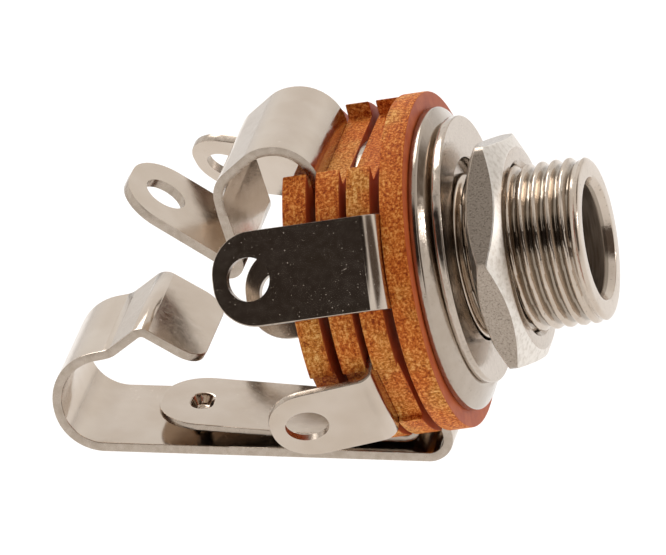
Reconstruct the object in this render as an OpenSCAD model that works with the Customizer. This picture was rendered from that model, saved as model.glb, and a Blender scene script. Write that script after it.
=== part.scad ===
// Open-frame quarter inch panel phone jack with tip, ring and sleeve contacts and a tip switch.
// The plug enters along -X, +X points out of the panel and +Z points to the ring spring.
// The origin is on the bushing's axis, in the flange's front face, where the panel seats.

/* [Bushing] */
// Outside diameter of the thread
thread_d = 9.525; // [9.2:0.025:9.8]
// Distance from one crest of the thread to the next
thread_pitch = 0.794; // [0.7:0.002:1]
// Depth of the thread's grooves
thread_depth = 0.4; // [0.2:0.05:0.45]
// Width of the thread's flat crests
thread_crest = 0.1; // [0.05:0.01:0.2]
// Least length of the plain neck between the flange and the thread
thread_neck = 0.25; // [0.1:0.05:0.8]
// Length of the bushing in front of the panel seat
bushing_len = 7.6; // [6:0.1:12]
// Step from the thread's outside down to the plain lip at the front
lip_step = 0.2125; // [0.1:0.0125:0.4]
// Length of the plain lip
lip_len = 0.5; // [0.4:0.05:1]
// Radius that rounds the lip's outer edge
lip_round = 0.35; // [0.1:0.05:0.4]
// Diameter of the bore that takes the plug
bore_d = 6.5; // [6.4:0.05:6.8]
// How far the bore's countersunk mouth widens on each side
mouth_flare = 0.3; // [0.1:0.05:0.6]
// Depth of the countersunk mouth
mouth_depth = 0.6; // [0.2:0.05:1.2]
// Distance of the flange's rim inside the front disc's
flange_inset = 0.95; // [0.6:0.05:1.4]
// Thickness of the flange's straight rim
flange_rim = 0.5; // [0.3:0.05:1]
// Height of the bevel from the rim to the front face
flange_bevel = 0.65; // [0.3:0.05:1]
// Width of the flange's bevel
flange_bevel_w = 1.2; // [0.6:0.05:1.6]
// Diameter of the barrel that carries the stack
barrel_d = 9.8; // [9:0.1:10.2]
// How far the rear end is rolled over, outside the barrel
roll_lip = 0.9; // [0.5:0.05:1.2]
// Thickness of the rolled-over rear end
roll_t = 0.6; // [0.4:0.05:1]

/* [Nut and washer] */
// Width of the nut across its flats
nut_flats = 12.7; // [12:0.1:14]
// Thickness of the nut
nut_t = 2; // [1.6:0.05:2.8]
// Free space between the washer and the nut
nut_gap = 0.95; // [0.3:0.05:2]
// Angle of the nut's first corner from the horizontal
nut_turn = 18.5; // [0:0.5:59.5]
// Distance from the nut's flats in to the round face inside its front chamfer
nut_face_step = 0.5; // [0.1:0.05:0.6]
// Distance from the nut's flats in to the round face inside its rear chamfer
nut_rear_step = 0.15; // [0.1:0.05:0.6]
// Slope of the nut's chamfers, from the flat faces
nut_chamfer = 30; // [15:1:35]
// Radial clearance of the nut on the thread
thread_clearance = 0.05; // [0.02:0.01:0.1]
// Diameter of the washer
washer_d = 15.3; // [14.4:0.1:16]
// Radial clearance of the washer's hole round the thread
washer_play = 0.4875; // [0.1:0.0125:0.7]
// Thickness of the washer
washer_t = 0.55; // [0.4:0.05:0.9]
// Gap left where the loose washer comes closest to the thread
washer_touch = 0.0675; // [0.02:0.0025:0.1]

/* [Fibre discs] */
// Diameter of the discs behind the front one
disc_d = 19.2; // [18.2:0.1:20.2]
// How far the front disc's rim stands outside the others
front_disc_rim = 0.05; // [0:0.05:0.3]
// Thickness of every disc
fibre_t = 1.4; // [1.2:0.05:1.6]
// Depth of the discs' top slots below the start of the ring spring's arch
arch_floor_gap = 0.05; // [0.05:0.05:0.3]
// Clearance between the arch and the sides of the slots
arch_clearance = 0.45; // [0.15:0.05:0.5]
// Width of the slots under the switch lug
switch_slot_w = 4.9; // [4.8:0.1:6]
// Distance from the switch lug's bend in to the floor of the slots under it
switch_slot_gap = 0.4; // [0.1:0.05:0.6]
// Clearance between the switch leaf and the discs above it
leaf_clearance = 0.45; // [0.3:0.05:0.6]
// Wall of the insulating tube round the barrel
tube_wall = 1; // [0.7:0.05:1.2]
// Clearance of the discs and plates on the tube, and of the tube on the barrel
stack_clearance = 0.05; // [0.02:0.01:0.1]

/* [Metal plates and lugs] */
// Distance of the tip, switch and ring plates' rims inside the discs'
plate_inset = 2.2; // [2.1:0.05:2.4]
// Diameter of the sleeve plate
sleeve_plate_d = 12.4; // [12:0.1:12.6]
// Thickness of the sleeve plate
sleeve_t = 0.5; // [0.4:0.05:0.7]
// Width of every lug
lug_w = 5.4; // [4.5:0.1:6]
// Gap between the discs' rims and the lugs that pass over them
lug_clearance = 0.125; // [0.1:0.025:0.6]
// Distance of the sleeve lug's bend outside its plate
sleeve_lug_reach = 0.75; // [0.7:0.05:1.2]
// Length of the tip and ring lugs behind their plates
long_lug_len = 9.6; // [8:0.1:12]
// Length of the switch lug
switch_lug_len = 6.5; // [6:0.1:9]
// Length of the sleeve lug
sleeve_lug_len = 8.6; // [6.5:0.1:10]
// Diameter of the wire holes in the lugs
lug_hole_d = 2.5; // [1.6:0.1:3]
// Distance of a wire hole from its lug's end
lug_hole_back = 2.1; // [2:0.05:2.6]
// Corner radius at the end of a lug
lug_corner = 2.1; // [1:0.1:2.2]
// Bend radius of the lugs and of the switch leaf's root
lug_bend_r = 0.7; // [0.5:0.05:1]
// Angle of the tip lug from the top, towards -Y
tip_lug_angle = 64; // [55:1:75]
// Angle of the switch lug from the top, towards -Y
switch_lug_angle = 117; // [114:1:124]
// Outward flare of the switch lug
switch_lug_flare = 6; // [0:1:12]
// Angle of the ring lug from the top, towards +Y
ring_lug_angle = 117; // [110:1:124]
// Angle of the sleeve lug from the top, towards +Y
sleeve_lug_angle = 58; // [56:1:70]
// Outward flare of the sleeve lug
sleeve_lug_flare = 17; // [10:1:25]

/* [Tip spring] */
// Width of the tip spring
tip_w = 7.7; // [6:0.1:8.4]
// Thickness of the tip terminal and its spring
tip_t = 0.55; // [0.4:0.05:0.6]
// Depth of the corner at the root below the discs
tip_root_gap = 1; // [0.8:0.05:1.6]
// Rise of the lower run towards the rear
tip_slope = 10.3; // [9:0.1:11]
// Distance from the plate to the spring's rear loop
tip_loop_back = 22.1; // [21.8:0.1:23]
// Depth below the axis of the loop's upper corner
tip_loop_drop = 1.45; // [1.3:0.05:1.55]
// Distance from the plate to the shoulder of the upper run
tip_shoulder_back = 18.3; // [17.5:0.1:18.5]
// Depth of the shoulder below the axis
tip_shoulder_drop = 1.25; // [1:0.05:1.4]
// Distance from the plate to the contact's crest
tip_contact_back = 16.15; // [15.8:0.05:16.5]
// Depth of the crest's corner below the axis
tip_contact_drop = 0.08; // [-0.2:0.02:0.3]
// Distance from the plate to the tail's end
tip_tail_back = 13.15; // [13:0.05:14]
// Depth of the tail's end below the axis
tip_tail_drop = 2.7; // [1.8:0.05:2.8]
// Bend radius at the root
tip_root_r = 1.2; // [0.8:0.05:1.6]
// Bend radius at the bottom of the loop
tip_loop_r = 2.6; // [1.8:0.05:2.6]
// Bend radius at the top of the loop
tip_loop_top_r = 3; // [2:0.1:3]
// Bend radius of the shoulder
tip_shoulder_r = 1.5; // [0.8:0.1:2]
// Bend radius of the crest
tip_contact_r = 0.6; // [0.4:0.05:0.8]
// Corner radius at the tail's end
tip_tail_corner = 1.5; // [0.8:0.1:1.6]
// Distance from the plate to the line where the arm bends
tip_flex_back = 2.8; // [2.4:0.1:3.4]

/* [Switch leaf] */
// Width of the switch leaf
leaf_w = 6.1; // [5:0.1:6.4]
// Thickness of the switch terminal and its leaf
leaf_t = 0.4; // [0.3:0.05:0.5]
// Gap between the leaf's root run and the tip spring
leaf_gap = 0.25; // [0.2:0.05:0.35]
// Length of the root run along the tip spring
leaf_run = 6.9; // [6:0.1:8]
// Slope of the leaf behind its root run
leaf_slope = 13.5; // [12.5:0.1:15]
// Length of the sloped part of the leaf
leaf_len = 8.6; // [7.5:0.1:10]
// Bend radius of the knee between them
leaf_knee_r = 2.2; // [1:0.1:3]
// Corner radius at the leaf's end
leaf_corner = 2.6; // [1.5:0.1:2.7]
// Distance of the pressed dimple from the leaf's end
dimple_back = 2.4; // [2:0.1:3]
// Length of the dimple along the leaf
dimple_len = 1.5; // [1.2:0.1:1.8]
// Width of the dimple across the leaf
dimple_w = 2.2; // [1.8:0.1:3]
// Wall left round the dimple's hollow
dimple_wall = 0.25; // [0.15:0.05:0.3]
// Gap left between the dimple and the tip spring
dimple_gap = 0.1; // [0.08:0.01:0.15]

/* [Ring spring] */
// Width of the ring spring's arch
ring_w = 8.3; // [7:0.1:8.6]
// Thickness of the ring terminal and its spring
ring_t = 0.55; // [0.4:0.05:0.6]
// Height of the arch's crown above the axis
ring_crown_z = 9.9; // [9.85:0.05:10.6]
// Distance from the plate to the end of the crown
ring_crown_back = 3.1; // [2.9:0.05:3.4]
// Distance from the plate to the rear leg
ring_leg_back = 5.8; // [5.4:0.05:6.2]
// Height of the arch's rear shoulder
ring_shoulder_z = 8.2; // [8:0.05:8.5]
// Height where the rear leg starts to lean
ring_knee_z = 6.4; // [6:0.05:6.6]
// Distance from the plate to the contact's corner
ring_contact_back = 5.5; // [5.2:0.05:5.7]
// Height of the contact's corner above the axis
ring_contact_z = 1.9; // [1.8:0.05:2.5]
// Slope of the tail behind the contact
ring_tail_slope = 43; // [38:0.5:45]
// Length of the tail
ring_tail_len = 8.7; // [7.5:0.1:9.5]
// Length of the tail's root at the arch's full width
ring_tail_root = 1.7; // [1.6:0.05:2]
// Width of the tail
ring_tail_w = 6.1; // [5:0.1:6.6]
// Corner radius at the tail's end
ring_tail_corner = 2.5; // [1.5:0.1:2.6]
// Diameter of the tail's hole
ring_hole_d = 2.5; // [1.6:0.1:3]
// Distance of the tail's hole from its end
ring_hole_back = 2.3; // [2.1:0.05:2.8]
// Bend radius where the arch starts
ring_root_r = 2.35; // [2.2:0.05:2.4]
// Bend radius at the end of the crown
ring_crown_r = 2.2; // [1.6:0.1:2.4]
// Bend radius of the rear shoulder
ring_shoulder_r = 1.6; // [1:0.1:1.8]
// Bend radius of the rear leg's knee
ring_knee_r = 3; // [2:0.1:4]
// Bend radius of the contact
ring_contact_r = 0.6; // [0.45:0.05:0.65]
// Height of the line where the arm bends
ring_flex_z = 8.05; // [7.95:0.05:8.2]

/* [Flexing arms] */
// Gap at the line where an arm bends
flex_gap = 0.1; // [0.08:0.01:0.16]

/* [Hidden] */
$fn = 96;
nickel = [0.80, 0.77, 0.72];
fibre = [0.74, 0.42, 0.17];
tube_colour = [0.45, 0.22, 0.12];
// Largest angle between two facets of a bend
bend_step = 6;
// Angle between the points of a rounded edge
round_step = 15;
// Share of a run that its two bends may take up
bend_share = 0.97;
// Overlap that lets a cutter pass a face cleanly
over = 0.5;
// How far a full-width end's outline stands outside its strip, so that the corners meet the sides
proud = 0.02;

// Diameters that follow from the discs
front_disc_d = disc_d + 2 * front_disc_rim;
flange_d = front_disc_d - 2 * flange_inset;
plate_d = disc_d - 2 * plate_inset;

// The stack, from the panel seat to the rear
front_disc_x = -flange_bevel - flange_rim;
tip_plate_x = front_disc_x - fibre_t;
tip_disc_x = tip_plate_x - tip_t;
switch_plate_x = tip_disc_x - fibre_t;
switch_disc_x = switch_plate_x - leaf_t;
ring_plate_x = switch_disc_x - fibre_t;
rear_disc_x = ring_plate_x - ring_t;
sleeve_plate_x = rear_disc_x - fibre_t;
roll_x = sleeve_plate_x - sleeve_t;
rear_x = roll_x - roll_t;
tube_d = barrel_d + 2 * (stack_clearance + tube_wall);
stack_hole_d = tube_d + 2 * stack_clearance;
plate_mid_r = (stack_hole_d + plate_d) / 4;

// Middle planes of the metal plates
tip_x = tip_plate_x - tip_t / 2;
switch_x = switch_plate_x - leaf_t / 2;
ring_x = ring_plate_x - ring_t / 2;
sleeve_x = sleeve_plate_x - sleeve_t / 2;

// Distance of the lugs' middle planes from the axis, and where the tip and ring lugs start to bend
lug_r = disc_d / 2 + lug_clearance + tip_t / 2;
lug_bend_start = lug_r - lug_bend_r;
sleeve_lug_r = sleeve_plate_d / 2 + sleeve_lug_reach;

// Lower run of the tip spring, as a height for any place along the axis
tip_drop = disc_d / 2 + tip_root_gap;
function tip_run_z(x) = -tip_drop + (tip_x - x) * tan(tip_slope);
// Height from the middle of the lower run to the surface above it
tip_skin = tip_t / 2 / cos(tip_slope);
tip_loop_x = tip_x - tip_loop_back;
tip_flex_x = tip_x - tip_flex_back;
tip_flex = [tip_flex_x, tip_run_z(tip_flex_x)];
tip_along = [-cos(tip_slope), sin(tip_slope)];
// Depth below the axis where the tip terminal's root starts to bend
tip_bend_drop = tip_drop - tip_root_r * tan((90 + tip_slope) / 2);

// Switch leaf, which follows the tip spring and then rises from it
leaf_root_z = tip_run_z(switch_x) + tip_skin + leaf_gap + leaf_t / 2;
leaf_knee = [switch_x - leaf_run, leaf_root_z + leaf_run * tan(tip_slope)];
leaf_along = [-cos(leaf_slope), sin(leaf_slope)];
leaf_tip = leaf_knee + leaf_len * leaf_along;
dimple_at = leaf_tip - dimple_back * leaf_along;
dimple_reach = dimple_at[1] - tip_run_z(dimple_at[0]) - tip_skin - dimple_gap;
leaf_top_z = leaf_root_z + (switch_x - sleeve_plate_x) * tan(tip_slope) + leaf_t / 2;
leaf_cut_z = leaf_top_z + leaf_clearance;

// Ring spring
ring_leg_x = ring_x - ring_leg_back;
ring_contact = [ring_x - ring_contact_back, ring_contact_z];
ring_tail_along = [-cos(ring_tail_slope), sin(ring_tail_slope)];

// Thread, drawn as rings from the lip back to the neck
thread_end = bushing_len - lip_len - lip_step;
thread_turns = floor((thread_end - thread_neck) / thread_pitch);
thread_start = thread_end - thread_turns * thread_pitch;

washer_bore_d = thread_d + 2 * washer_play;
nut_x = washer_t + nut_gap;

// Centre lines of the folded strips: corners as [x, z, bend radius], ends as [x, z]
tip_root_line = [
    [tip_x, -plate_mid_r],
    [tip_x, -tip_drop, tip_root_r],
    tip_flex - flex_gap / 2 * tip_along
];
tip_arm_line = [
    tip_flex + flex_gap / 2 * tip_along,
    [tip_loop_x, tip_run_z(tip_loop_x), tip_loop_r],
    [tip_loop_x, -tip_loop_drop, tip_loop_top_r],
    [tip_x - tip_shoulder_back, -tip_shoulder_drop, tip_shoulder_r],
    [tip_x - tip_contact_back, -tip_contact_drop, tip_contact_r],
    [tip_x - tip_tail_back, -tip_tail_drop]
];
leaf_line = [
    [switch_x, -plate_mid_r],
    [switch_x, leaf_root_z, lug_bend_r],
    [leaf_knee[0], leaf_knee[1], leaf_knee_r],
    leaf_tip
];
ring_line = [
    [ring_x, stack_hole_d / 2 + ring_t],
    [ring_x, ring_crown_z, ring_root_r],
    [ring_x - ring_crown_back, ring_crown_z, ring_crown_r],
    [ring_leg_x, ring_shoulder_z, ring_shoulder_r],
    [ring_leg_x, ring_knee_z, ring_knee_r],
    [ring_contact[0], ring_contact[1], ring_contact_r],
    ring_contact + ring_tail_len * ring_tail_along
];

function unit(v) = v / norm(v);
function flat(p) = [p[0], p[1]];
function across(v) = [-v[1], v[0]];
function cross_z(a, b) = a[0] * b[1] - a[1] * b[0];

// Direction and length of the run that leads up to a corner of a line
function run_dir(line, i) = unit(flat(line[i]) - flat(line[i - 1]));
function run_len(line, i) = norm(flat(line[i]) - flat(line[i - 1]));
function turn_at(line, i) = acos(min(1, max(-1, run_dir(line, i) * run_dir(line, i + 1))));

// Length that a corner's bend takes up on each of its runs; the ends of a line have none
function reach(line, i) = i == 0 || i == len(line) - 1 ? 0 : line[i][2] * tan(turn_at(line, i) / 2);

// Bend radius of a corner, limited by the runs that it shares with its neighbours
function bend_radius(line, i) =
    let (
        before = bend_share * run_len(line, i) / (reach(line, i) + reach(line, i - 1)),
        after = bend_share * run_len(line, i + 1) / (reach(line, i) + reach(line, i + 1))
    )
    line[i][2] * min(1, before, after);

// Points of the arc that rounds one corner of a line
function bend(line, i) =
    let (
        u = run_dir(line, i),
        turn = turn_at(line, i),
        side = sign(cross_z(u, run_dir(line, i + 1))),
        r = bend_radius(line, i),
        start = flat(line[i]) - u * r * tan(turn / 2),
        centre = start + side * r * across(u),
        steps = max(2, ceil(turn / bend_step)),
        first = -side * across(u)
    )
    [
        for (i = [0 : steps])
            let (a = side * turn * i / steps)
            centre + r * [first[0] * cos(a) - first[1] * sin(a), first[0] * sin(a) + first[1] * cos(a)]
    ];

// A centre line with every corner replaced by its arc
function folded(line) =
    let (last = len(line) - 1)
    [
        flat(line[0]),
        for (i = [1 : 1 : last - 1]) each bend(line, i),
        flat(line[last])
    ];

// A path moved sideways by a distance, with mitred corners
function beside(path, distance) =
    let (last = len(path) - 1)
    [
        for (i = [0 : last])
            let (
                u = unit(path[min(i + 1, last)] - path[min(i, last - 1)]),
                v = unit(path[max(i, 1)] - path[max(i - 1, 0)]),
                n = unit(across(u) + across(v))
            )
            path[i] + distance / (n * across(u)) * n
    ];

function backwards(list) = [for (i = [len(list) - 1 : -1 : 0]) list[i]];

// A line with its last run made longer
function lengthened(line, extra) =
    let (
        last = len(line) - 1,
        along = unit(flat(line[last]) - flat(line[last - 1]))
    )
    [for (i = [0 : last]) i < last ? line[i] : flat(line[last]) + extra * along];

// Flat strip of constant width folded along a centre line in the XZ plane
module folded_strip(line, width, t) {
    path = folded(line);
    rotate([90, 0, 0])
        linear_extrude(height = width, center = true)
            polygon(concat(beside(path, t / 2), backwards(beside(path, -t / 2))));
}

// Outline of a strip's free end: rounded corners and a hole on its centre line
module end_outline(length, width, corner, hole_d, hole_back) {
    difference() {
        union() {
            translate([0, -width / 2])
                square([length - corner, width]);
            translate([0, corner - width / 2])
                square([length, width - 2 * corner]);
            for (side = [-1, 1])
                translate([length - corner, side * (width / 2 - corner)])
                    circle(corner);
        }
        if (hole_d > 0)
            translate([length - hole_back, 0])
                circle(d = hole_d);
    }
}

// Block with its flat outline along the last run of a line, which ends a length past the outline's origin
module end_block(line, length, depth) {
    last = len(line) - 1;
    along = unit(flat(line[last]) - flat(line[last - 1]));
    from = flat(line[last]) - length * along;
    translate([from[0], 0, from[1]])
        rotate([0, -atan2(along[1], along[0]), 0])
            translate([0, 0, -depth])
                linear_extrude(height = 2 * depth)
                    children();
}

// Last stretch of a folded strip, cut to its outline through a depth on both sides
module cut_end(line, width, t, length, depth, corner, hole_d, hole_back) {
    intersection() {
        folded_strip(lengthened(line, over), width + 2 * over, t);
        end_block(line, length, depth)
            end_outline(length, width, corner, hole_d, hole_back);
    }
}

// Folded strip whose last stretch is trimmed to a rounded outline
module trimmed_strip(line, width, t, end_len, end_w, corner, hole_d = 0, hole_back = 0) {
    difference() {
        folded_strip(lengthened(line, over), width, t);
        end_block(line, end_len, t)
            difference() {
                translate([0, -width])
                    square([end_len + 2 * over, 2 * width]);
                end_outline(end_len, end_w, corner, hole_d, hole_back);
            }
    }
}

// Flat shape, drawn with X up and Y across, given a thickness from x to the rear
module plate_at(x, t) {
    translate([x, 0, 0])
        rotate([0, -90, 0])
            linear_extrude(height = t)
                children();
}

module ring_outline(outer_d, hole_d) {
    difference() {
        circle(d = outer_d);
        circle(d = hole_d);
    }
}

// Solder lug: an arm in the plane of its plate, bent to the rear at a radius and cut to a rounded outline
module lug(angle, x, t, bend_r, length, flare, from_r) {
    arm = bend_r - from_r;
    blank_len = arm + length;
    line = [
        [0, from_r],
        [0, bend_r, lug_bend_r],
        [-length * cos(flare), bend_r + length * sin(flare)]
    ];
    translate([x, 0, 0])
        rotate([angle, 0, 0])
            cut_end(line, lug_w, t, blank_len, arm + t, lug_corner, lug_hole_d, lug_hole_back);
}

// Fibre disc with the hole for the insulating tube
module fibre_disc(x, d) {
    color(fibre)
        plate_at(x, fibre_t)
            ring_outline(d, stack_hole_d);
}

// Cut under a lug, with its floor at a distance from the axis
module lug_cut(x, angle, floor_r, width) {
    rotate([angle, 0, 0])
        translate([x - fibre_t - over, -width / 2, floor_r])
            cube([fibre_t + 2 * over, width, disc_d]);
}

// Slot under the switch lug
module switch_slot(x) {
    lug_cut(x, switch_lug_angle, lug_bend_start - switch_slot_gap, switch_slot_w);
}

// Slot at the top that the ring spring's arch stands in
module arch_slot(x) {
    slot_w = ring_w + 2 * arch_clearance;
    translate([x - fibre_t - over, -slot_w / 2, ring_crown_z - ring_root_r - arch_floor_gap])
        cube([fibre_t + 2 * over, slot_w, disc_d]);
}

// Slot at the bottom that the switch leaf runs through
module leaf_slot(x) {
    slot_w = leaf_w + 2 * leaf_clearance;
    translate([x - fibre_t - over, -slot_w / 2, leaf_cut_z - disc_d])
        cube([fibre_t + 2 * over, slot_w, disc_d]);
}

module bushing() {
    bore_r = bore_d / 2;
    thread_r = thread_d / 2;
    lip_r = thread_r - lip_step;
    roll_r = barrel_d / 2 + roll_lip;
    color(nickel)
        rotate([0, 90, 0])
            rotate_extrude()
                polygon([
                    [bore_r, rear_x],
                    [barrel_d / 2, rear_x],
                    [roll_r, rear_x + roll_t / 2],
                    [roll_r, roll_x],
                    [barrel_d / 2, roll_x],
                    [barrel_d / 2, front_disc_x],
                    [flange_d / 2, front_disc_x],
                    [flange_d / 2, -flange_bevel],
                    [flange_d / 2 - flange_bevel_w, 0],
                    [thread_r, 0],
                    for (groove = [0 : thread_turns - 1])
                        for (side = [-1 : 1])
                            [
                                side == 0 ? thread_r - thread_depth : thread_r,
                                thread_start + groove * thread_pitch + thread_pitch / 2
                                    + side * (thread_pitch - thread_crest) / 2
                            ],
                    [thread_r, thread_end],
                    [lip_r, bushing_len - lip_len],
                    for (a = [0 : round_step : 90])
                        [lip_r - lip_round * (1 - cos(a)), bushing_len - lip_round * (1 - sin(a))],
                    [bore_r + mouth_flare, bushing_len],
                    [bore_r, bushing_len - mouth_depth]
                ]);
}

module hex_nut() {
    corner_r = nut_flats / 2 / cos(30);
    outer_r = corner_r + over;
    front_r = nut_flats / 2 - nut_face_step;
    rear_r = nut_flats / 2 - nut_rear_step;
    color(nickel)
        rotate([0, 90, 0])
            translate([0, 0, nut_x])
                difference() {
                    intersection() {
                        rotate([0, 0, -90 - nut_turn])
                            translate([0, 0, -over])
                                cylinder(h = nut_t + 2 * over, r = corner_r, $fn = 6);
                        rotate_extrude()
                            polygon([
                                [0, 0],
                                [rear_r, 0],
                                [outer_r, (outer_r - rear_r) * tan(nut_chamfer)],
                                [outer_r, nut_t - (outer_r - front_r) * tan(nut_chamfer)],
                                [front_r, nut_t],
                                [0, nut_t]
                            ]);
                    }
                    translate([0, 0, -over])
                        cylinder(h = nut_t + 2 * over, d = thread_d + 2 * thread_clearance);
                }
}

module panel_washer() {
    color(nickel)
        translate([washer_t, 0, washer_play - washer_touch])
            plate_at(0, washer_t)
                ring_outline(washer_d, washer_bore_d);
}

module front_insulator() {
    fibre_disc(front_disc_x, front_disc_d);
}

module tip_terminal() {
    color(nickel) {
        plate_at(tip_plate_x, tip_t)
            ring_outline(plate_d, stack_hole_d);
        folded_strip(tip_root_line, tip_w, tip_t);
        lug(tip_lug_angle, tip_x, tip_t, lug_r, long_lug_len, 0, plate_mid_r);
    }
}

module tip_spring() {
    color(nickel)
        trimmed_strip(
            tip_arm_line, tip_w, tip_t, tip_tail_corner + tip_t, tip_w + 2 * proud, tip_tail_corner
        );
}

// Flat at the bottom that clears the bend at the tip spring's root
module root_flat(x) {
    translate([x - fibre_t - over, -disc_d / 2, -tip_bend_drop - disc_d])
        cube([fibre_t + 2 * over, disc_d, disc_d]);
}

module tip_insulator() {
    color(fibre)
        difference() {
            fibre_disc(tip_disc_x, disc_d);
            arch_slot(tip_disc_x);
            root_flat(tip_disc_x);
            switch_slot(tip_disc_x);
            lug_cut(tip_disc_x, tip_lug_angle, lug_bend_start, disc_d);
        }
}

// Block with round ends, from a floor below the leaf's middle up to a top above it
module dimple_block(wall, floor_z, top_z) {
    round_r = dimple_len / 2 - wall;
    half_w = (dimple_w - dimple_len) / 2;
    translate([dimple_at[0], 0, dimple_at[1]])
        rotate([0, leaf_slope, 0])
            translate([0, 0, floor_z])
                linear_extrude(height = top_z - floor_z) {
                    for (side = [-1, 1])
                        translate([0, side * half_w])
                            circle(round_r);
                    square([2 * round_r, 2 * half_w], center = true);
                }
}

// Leaf with a dimple pressed down towards the tip spring
module switch_leaf() {
    difference() {
        union() {
            trimmed_strip(leaf_line, leaf_w, leaf_t, leaf_len / 2, leaf_w + 2 * proud, leaf_corner);
            dimple_block(0, -dimple_reach, 0);
        }
        dimple_block(dimple_wall, dimple_wall - dimple_reach, leaf_t);
    }
}

module switch_terminal() {
    color(nickel) {
        plate_at(switch_plate_x, leaf_t)
            ring_outline(plate_d, stack_hole_d);
        switch_leaf();
        lug(switch_lug_angle, switch_x, leaf_t, lug_r, switch_lug_len, switch_lug_flare, plate_mid_r);
    }
}

module switch_insulator() {
    color(fibre)
        difference() {
            fibre_disc(switch_disc_x, disc_d);
            arch_slot(switch_disc_x);
            switch_slot(switch_disc_x);
            leaf_slot(switch_disc_x);
        }
}

// Ring spring from its root in the plate to the end of its tail
module ring_strip() {
    end_len = ring_tail_len - ring_tail_root;
    trimmed_strip(
        ring_line, ring_w, ring_t, end_len, ring_tail_w, ring_tail_corner, ring_hole_d, ring_hole_back
    );
}

// Space round the ring plate up to a height
module ring_root_zone(top_z) {
    depth = ring_leg_back;
    translate([ring_x - depth / 2, -lug_r, -disc_d])
        cube([depth, 2 * lug_r, disc_d + top_z]);
}

module ring_terminal() {
    color(nickel) {
        intersection() {
            union() {
                plate_at(ring_plate_x, ring_t)
                    ring_outline(plate_d, stack_hole_d);
                ring_strip();
            }
            ring_root_zone(ring_flex_z - flex_gap / 2);
        }
        lug(-ring_lug_angle, ring_x, ring_t, lug_r, long_lug_len, 0, plate_mid_r);
    }
}

module ring_spring() {
    color(nickel)
        difference() {
            ring_strip();
            ring_root_zone(ring_flex_z + flex_gap / 2);
        }
}

module rear_insulator() {
    color(fibre)
        difference() {
            fibre_disc(rear_disc_x, disc_d);
            arch_slot(rear_disc_x);
            switch_slot(rear_disc_x);
            lug_cut(rear_disc_x, -ring_lug_angle, lug_bend_start, disc_d);
            leaf_slot(rear_disc_x);
        }
}

module sleeve_terminal() {
    color(nickel) {
        plate_at(sleeve_plate_x, sleeve_t)
            ring_outline(sleeve_plate_d, barrel_d + 2 * stack_clearance);
        lug(-sleeve_lug_angle, sleeve_x, sleeve_t, sleeve_lug_r, sleeve_lug_len, sleeve_lug_flare,
            barrel_d / 2 + stack_clearance + sleeve_t);
    }
}

module insulating_tube() {
    color(tube_colour)
        plate_at(front_disc_x, front_disc_x - sleeve_plate_x)
            ring_outline(tube_d, barrel_d + 2 * stack_clearance);
}

bushing();
hex_nut();
panel_washer();
front_insulator();
tip_terminal();
tip_spring();
tip_insulator();
switch_terminal();
switch_insulator();
ring_terminal();
ring_spring();
rear_insulator();
sleeve_terminal();
insulating_tube();
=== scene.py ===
"""Looks of an open-frame quarter inch panel phone jack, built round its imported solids.

Shapes are drawn in millimetres. Lights, floor and camera clipping are in metres."""

import math

import bmesh
import bpy
from mathutils import Matrix, Vector


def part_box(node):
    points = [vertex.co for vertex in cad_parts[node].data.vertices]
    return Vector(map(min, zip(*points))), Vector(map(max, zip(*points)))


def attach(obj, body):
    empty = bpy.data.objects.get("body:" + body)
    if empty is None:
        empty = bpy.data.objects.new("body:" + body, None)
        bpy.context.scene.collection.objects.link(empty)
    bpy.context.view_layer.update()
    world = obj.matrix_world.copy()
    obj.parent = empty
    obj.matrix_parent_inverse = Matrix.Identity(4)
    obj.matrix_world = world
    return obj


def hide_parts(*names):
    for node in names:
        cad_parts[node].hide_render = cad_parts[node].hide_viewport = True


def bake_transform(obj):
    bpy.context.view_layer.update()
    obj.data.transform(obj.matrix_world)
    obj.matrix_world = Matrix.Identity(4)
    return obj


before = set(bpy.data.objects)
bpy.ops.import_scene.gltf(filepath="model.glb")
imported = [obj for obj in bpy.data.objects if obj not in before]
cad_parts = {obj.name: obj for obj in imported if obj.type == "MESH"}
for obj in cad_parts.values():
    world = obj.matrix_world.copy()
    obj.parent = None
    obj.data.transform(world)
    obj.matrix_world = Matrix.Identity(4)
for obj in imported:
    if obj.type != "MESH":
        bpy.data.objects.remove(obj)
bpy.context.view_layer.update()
MM = 0.001

# Sizes of the stamped plates and lugs, as in the solids, but with rounder lug ends
TIP_T = 0.55
LEAF_T = 0.4
RING_T = 0.55
SLEEVE_T = 0.5
PLATE_R = 7.4
STACK_HOLE_R = 6.0
PLATE_MID_R = 6.7
LUG_HALF_W = 2.7
LUG_R = 10.0
LUG_CORNER = 2.45
LUG_BEND_R = 0.7
LUG_HOLE_R = 1.25
LUG_HOLE_BACK = 2.1

# Roll-off of a sheet's cut edges, the widest step of its bends, and the angle that counts as a real edge
ROLL_OFF = 0.07
BEND_STEP = math.radians(3)
SHARP_DEG = 38
# Points on a round plate or its hole, on a small hole, and on an end's corner
PLATE_STEPS = 96
HOLE_STEPS = 48
CORNER_STEPS = 12


def front_x(node_name):
    """Front face of a plate or disc of the stack, in millimetres."""
    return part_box(node_name)[1].x / MM


TIP_X = front_x("tip_terminal") - TIP_T / 2
SWITCH_X = front_x("switch_terminal") - LEAF_T / 2
RING_X = front_x("ring_terminal") - RING_T / 2
SLEEVE_X = front_x("sleeve_terminal") - SLEEVE_T / 2


# Bent centre lines

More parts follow.
